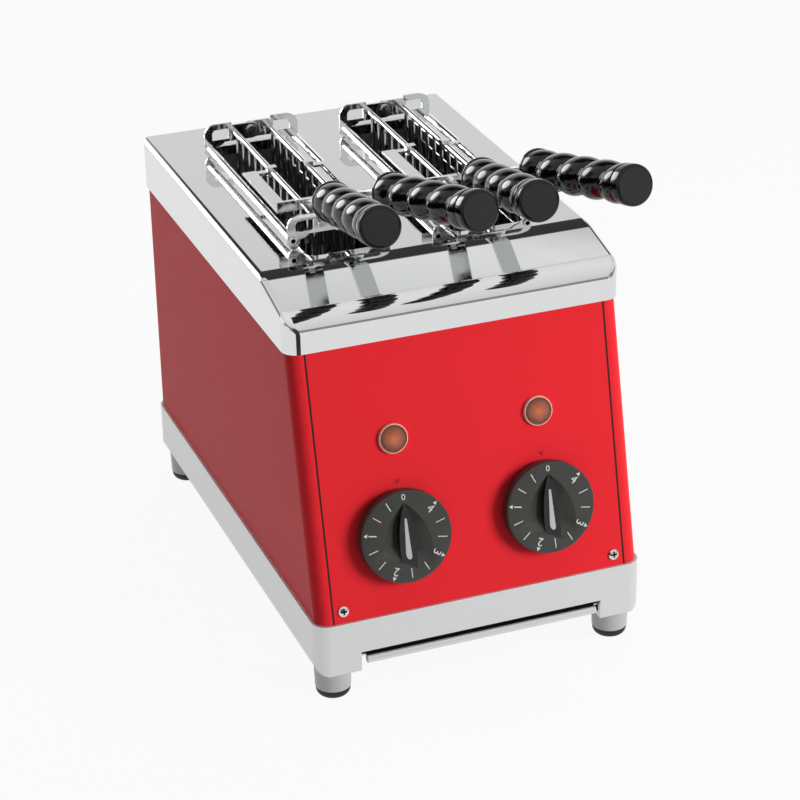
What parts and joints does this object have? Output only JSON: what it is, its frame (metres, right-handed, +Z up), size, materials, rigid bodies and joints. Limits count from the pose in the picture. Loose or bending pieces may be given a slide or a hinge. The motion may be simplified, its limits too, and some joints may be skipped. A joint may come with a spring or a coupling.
{
  "type": "countertop slot toaster",
  "caption": "Commercial countertop toaster with long top slots, lift-out spring tongs with twisted grips, timer knobs, lamps and a front crumb tray.",
  "frame": {"origin": "bottom centre of the bounding box: on the table, midway between the cord gland's rear end and the grips' front ends", "axes": "+X to the viewer's right, -Y toward the control panel, +Z up"},
  "size_m": [0.22, 0.3964, 0.3472],
  "materials": {
    "red_paint": "satin red enamel",
    "polished_steel": "mirror polished stainless sheet",
    "grey_paint": "light grey satin enamel",
    "grey_plastic": "light grey moulded plastic",
    "sheet_steel": "plain galvanised sheet",
    "bright_sheet": "bright reflector sheet",
    "bright_steel": "polished stainless plate and tube",
    "bright_wire": "bright stainless wire",
    "spring_steel": "spring wire",
    "zinc_steel": "zinc plated",
    "black_rubber": "matte rubber",
    "black_grip": "glossy black phenolic",
    "black_plastic": "matte black plastic",
    "dark_plastic": "charcoal matte plastic",
    "silver_inlay": "silver foil",
    "pale_plastic": "pale clear plastic",
    "amber_lens": "amber lens",
    "quartz_glass": "frosted quartz",
    "white_ceramic": "unglazed",
    "ivory_plastic": "ivory plastic",
    "sleeve_fabric": "woven glass sleeve"
  },
  "bodies": {
    "toaster_body": {"base_frame": "grey_paint", "floor_plate": "sheet_steel", "tray_runners": "sheet_steel", "foot_sleeves": "grey_plastic", "foot_tips": "black_rubber", "foot_screws": "zinc_steel", "side_panel_left": "red_paint", "side_panel_right": "red_paint", "front_panel": "red_paint", "rear_panel": "red_paint", "top_cover": "polished_steel", "front_screws": "zinc_steel", "rear_screws": "zinc_steel", "cover_screws": "zinc_steel", "bulkhead_front": "sheet_steel", "bulkhead_rear": "sheet_steel", "heater_caps": "white_ceramic", "terminal_block": "ivory_plastic", "cord_gland": "black_plastic", "wiring_loom": "sleeve_fabric", "timer_screws": "zinc_steel", "lamp_bezels": "pale_plastic", "lamp_bodies": "ivory_plastic", "lamp_lens_left": "amber_lens", "timer_left": "sheet_steel", "heater_tubes_left": "quartz_glass", "reflectors_left": "bright_sheet", "slot_guards_left": "bright_wire", "lamp_lens_right": "amber_lens", "timer_right": "sheet_steel", "heater_tubes_right": "quartz_glass", "reflectors_right": "bright_sheet", "slot_guards_right": "bright_wire"},
    "crumb_tray": {"crumb_tray": "grey_paint"},
    "knob_left": {"knob_left": "dark_plastic", "knob_inlay_left": "silver_inlay", "timer_shaft_left": "zinc_steel"},
    "left_tong": {"left_tong_pins": "zinc_steel", "left_tong_spring": "spring_steel"},
    "left_tong_outer": {"left_tong_outer_frame": "bright_steel", "left_tong_outer_grid": "bright_wire", "left_tong_outer_arm": "bright_steel", "left_tong_outer_grip": "black_grip"},
    "left_tong_inner": {"left_tong_inner_frame": "bright_steel", "left_tong_inner_grid": "bright_wire", "left_tong_inner_arm": "bright_steel", "left_tong_inner_grip": "black_grip"},
    "knob_right": {"knob_right": "dark_plastic", "knob_inlay_right": "silver_inlay", "timer_shaft_right": "zinc_steel"},
    "right_tong": {"right_tong_pins": "zinc_steel", "right_tong_spring": "spring_steel"},
    "right_tong_outer": {"right_tong_outer_frame": "bright_steel", "right_tong_outer_grid": "bright_wire", "right_tong_outer_arm": "bright_steel", "right_tong_outer_grip": "black_grip"},
    "right_tong_inner": {"right_tong_inner_frame": "bright_steel", "right_tong_inner_grid": "bright_wire", "right_tong_inner_arm": "bright_steel", "right_tong_inner_grip": "black_grip"}
  },
  "joints": [
    {"name": "crumb_tray_slide", "type": "slide", "parent": "toaster_body", "child": "crumb_tray", "axis": [0, -1, 0], "range_m": [0, 0.25]},
    {"name": "left_knob_turn", "type": "hinge", "parent": "toaster_body", "child": "knob_left", "pos_m": [-0.048, -0.13828, 0.10503], "axis": [0, 0.9754, -0.2206], "range_deg": [0, 312]},
    {"name": "left_tong_lift", "type": "slide", "parent": "toaster_body", "child": "left_tong", "axis": [0, 0, 1], "range_m": [0, 0.13]},
    {"name": "left_tong_outer_open", "type": "hinge", "parent": "left_tong", "child": "left_tong_outer", "pos_m": [-0.048, 0, 0.274], "axis": [0, 1, 0], "range_deg": [0, 4], "stiffness_Nm_per_rad": 0.5},
    {"name": "left_tong_inner_open", "type": "hinge", "parent": "left_tong", "child": "left_tong_inner", "pos_m": [-0.048, 0, 0.274], "axis": [0, -1, 0], "range_deg": [0, 4], "stiffness_Nm_per_rad": 0.5},
    {"name": "right_knob_turn", "type": "hinge", "parent": "toaster_body", "child": "knob_right", "pos_m": [0.048, -0.13828, 0.10503], "axis": [0, 0.9754, -0.2206], "range_deg": [0, 312]},
    {"name": "right_tong_lift", "type": "slide", "parent": "toaster_body", "child": "right_tong", "axis": [0, 0, 1], "range_m": [0, 0.13]},
    {"name": "right_tong_outer_open", "type": "hinge", "parent": "right_tong", "child": "right_tong_outer", "pos_m": [0.048, 0, 0.274], "axis": [0, -1, 0], "range_deg": [0, 4], "stiffness_Nm_per_rad": 0.5},
    {"name": "right_tong_inner_open", "type": "hinge", "parent": "right_tong", "child": "right_tong_inner", "pos_m": [0.048, 0, 0.274], "axis": [0, 1, 0], "range_deg": [0, 4], "stiffness_Nm_per_rad": 0.5}
  ],
  "couplings": [
    {"joint": "left_tong_inner_open", "follows": "left_tong_outer_open", "ratio": 1},
    {"joint": "right_tong_inner_open", "follows": "right_tong_outer_open", "ratio": 1}
  ]
}
